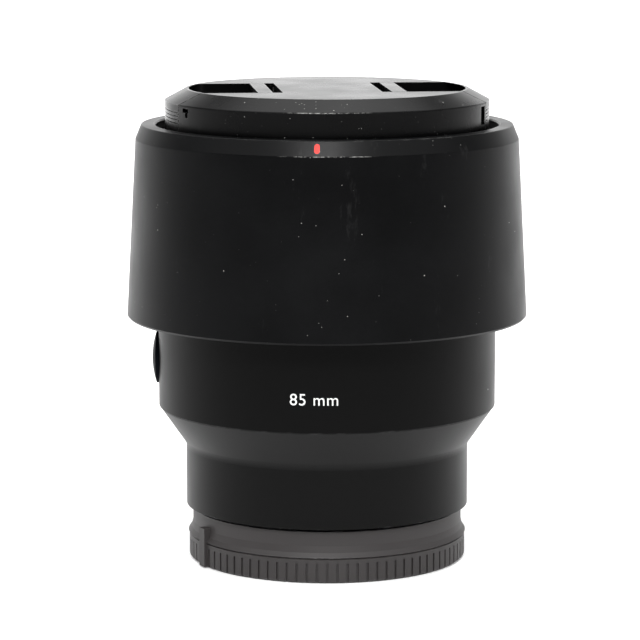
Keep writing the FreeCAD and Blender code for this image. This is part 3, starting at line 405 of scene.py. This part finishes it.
def winding():
    coil = Finish("coil_copper")
    turns = coil.add("ShaderNodeTexWave", {"Vector": coil.place}, {"Scale": 900.0, "Distortion": 0.4},
                     bands_direction="Z")
    strand = turns.outputs["Fac"]
    colour = coil.mix(strand, (0.30, 0.09, 0.03), (0.80, 0.36, 0.16))
    return coil.finish(colour, coil.fade(strand, 0.0, 1.0, 0.5, 0.3), coil.bump(strand, 0.00006),
                       Metallic=1.0)


def blade_coating():
    blade = Finish("iris_black")
    rub = blade.fade(blade.noise(500.0, 5.0, 0.7), 0.5, 0.75, 0.0, 0.6)
    colour = blade.mix(rub, (0.015, 0.015, 0.017), (0.05, 0.05, 0.055))
    return blade.finish(colour, blade.fade(rub, 0.0, 0.6, 0.5, 0.36),
                        blade.bump(blade.noise(4000.0), 0.000004), Metallic=0.6)


def coated_glass():
    glass = Finish("coated_glass")
    dust = glass.specks(900.0, 0.006, 0.1)
    colour = glass.mix(dust, (0.97, 0.98, 0.99), (0.6, 0.6, 0.6))
    smear = glass.fade(glass.noise(90.0, 4.0), 0.4, 0.8, 0.0, 0.04)
    return glass.finish(colour, glass.math("ADD", smear, glass.math("MULTIPLY", dust, 0.5)),
                        glass.bump(dust, 0.000005), Transmission_Weight=1.0, IOR=1.6,
                        Thin_Film_Thickness=240.0, Thin_Film_IOR=1.38)


FINISHES = {
    "cap_plastic": lambda: moulded("cap_plastic", (0.0014, 0.0014, 0.0015), 0.28, dust=0.10, worn=0.3,
                                   specular=0.12, painted_glint=CAP_PAINTED_GLINT),
    "hood_plastic": lambda: moulded("hood_plastic", (0.0008, 0.0009, 0.0011), 0.37, dust=0.03, worn=0.5,
                                    specular=0.11, smear=0.6, worn_above=RIM_LEVEL, painted_glint=HOOD_PAINTED_GLINT),
    "hood_felt": flock,
    "red_mark": lambda: filled_paint("red_mark", (0.86, 0.055, 0.045), (0.5, 0.04, 0.035)),
    "white_mark": lambda: filled_paint("white_mark", (0.85, 0.85, 0.84), (0.5, 0.5, 0.48)),
    "barrel_finish": lambda: painted_barrel("barrel_finish", (0.0011, 0.0011, 0.0011), 0.38, 0.09),
    # the rear barrel's own material carries the painted reflection of the floor on its cone
    "rear_barrel_painted_reflection": lambda: painted_barrel("rear_barrel_painted_reflection", (0.0018, 0.0018, 0.0018), 0.38, 0.11,
                                                 cone_painted_reflection=(0.014, 0.014, 0.014)),
    "focus_ring_finish": lambda: painted_barrel("focus_ring_finish", (0.0025, 0.0025, 0.0025), 0.42, 0.16),
    "control_plastic": lambda: moulded("control_plastic", (0.003, 0.004, 0.006), 0.45, dust=0.01,
                                       worn=0.1, specular=0.02, smear=0.1),
    "rear_cap_plastic": lambda: moulded("rear_cap_plastic", (0.033, 0.030, 0.030), 0.5, dust=0.012,
                                        worn=0.12, specular=0.3, smear=0.08, grain=2600.0,
                                        worn_above=SHOULDER_LEVEL, painted_glint=REAR_CAP_PAINTED_GLINT),
    "mount_metal": lambda: turned_metal("mount_metal", (0.80, 0.80, 0.81), (0.58, 0.58, 0.59), 0.26),
    "gold_contact": lambda: turned_metal("gold_contact", (0.95, 0.72, 0.32), (0.75, 0.52, 0.2), 0.22),
    "inner_plastic": lens_interior,
    "circuit_board": solder_mask,
    "steel_part": lambda: turned_metal("steel_part", (0.56, 0.56, 0.57), (0.4, 0.4, 0.41), 0.32),
    "coil_copper": winding,
    "iris_black": blade_coating,
    "coated_glass": coated_glass,
}
# the rear barrel takes the material with the painted reflection on its cone
NODE_FINISHES = {"rear_barrel": "rear_barrel_painted_reflection"}


def finish_cad_nodes():
    """Give every CAD node the procedural finish of its material slot, or its own where it has one."""
    made = {}
    for row in frame["record"]["subparts"]:
        finish_name = NODE_FINISHES.get(row["node"], row["material_slot"])
        if finish_name not in made:
            made[finish_name] = FINISHES[finish_name]()
        mesh = frame["nodes"][row["node"]].data
        mesh.materials.clear()
        mesh.materials.append(made[finish_name])
    return made


# ---- printed legend ---------------------------------------------------------------------------------

LEGEND_ANGLE = -94.3            # degrees about the lens axis
LEGEND_LEVEL = 40.8 * MM
LEGEND_HEIGHT = 2.45 * MM
PRINT_LIFT = 0.02 * MM
PRINT_THICKNESS = 0.015 * MM


def printed_text(name, words, height, radius, angle, level):
    """Text as a thin raised print, bent round a barrel; angle and level give its middle."""
    curve = bpy.data.curves.new(name, "FONT")
    curve.body = words
    curve.size = 1.0
    curve.space_character = 1.08
    curve.align_x, curve.align_y = "CENTER", "CENTER"
    curve.resolution_u = 6
    maker = bpy.data.objects.new(name, curve)
    bpy.context.scene.collection.objects.link(maker)
    bpy.context.view_layer.update()
    mesh = bpy.data.meshes.new_from_object(maker)
    bpy.data.objects.remove(maker)
    tall = [vertex.co.y for vertex in mesh.vertices]
    scale = height / (max(tall) - min(tall))
    middle = (max(tall) + min(tall)) / 2.0
    for vertex in mesh.vertices:
        turn = math.radians(angle) + vertex.co.x * scale / radius
        out = radius + PRINT_LIFT
        vertex.co = (out * math.cos(turn), out * math.sin(turn), level + (vertex.co.y - middle) * scale)
    thing = bpy.data.objects.new(name, mesh)
    bpy.context.scene.collection.objects.link(thing)
    return thing


def barrel_outside(node):
    low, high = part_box(node)
    return (high.y - low.y) / 2.0


def make_legend(finishes):
    legend = printed_text("legend_85_mm", "85 mm", LEGEND_HEIGHT, barrel_outside("main_barrel"),
                          LEGEND_ANGLE, LEGEND_LEVEL)
    legend.data.materials.append(finishes["white_mark"])
    solid = legend.modifiers.new("thickness", "SOLIDIFY")
    solid.thickness = PRINT_THICKNESS
    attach(legend, "lens_body")


make_camera()
make_world()
make_floor()
make_softbox("back_softbox", *BACK_SOFTBOX)
make_softbox("front_softbox", *FRONT_SOFTBOX)
finishes = finish_cad_nodes()
make_legend(finishes)
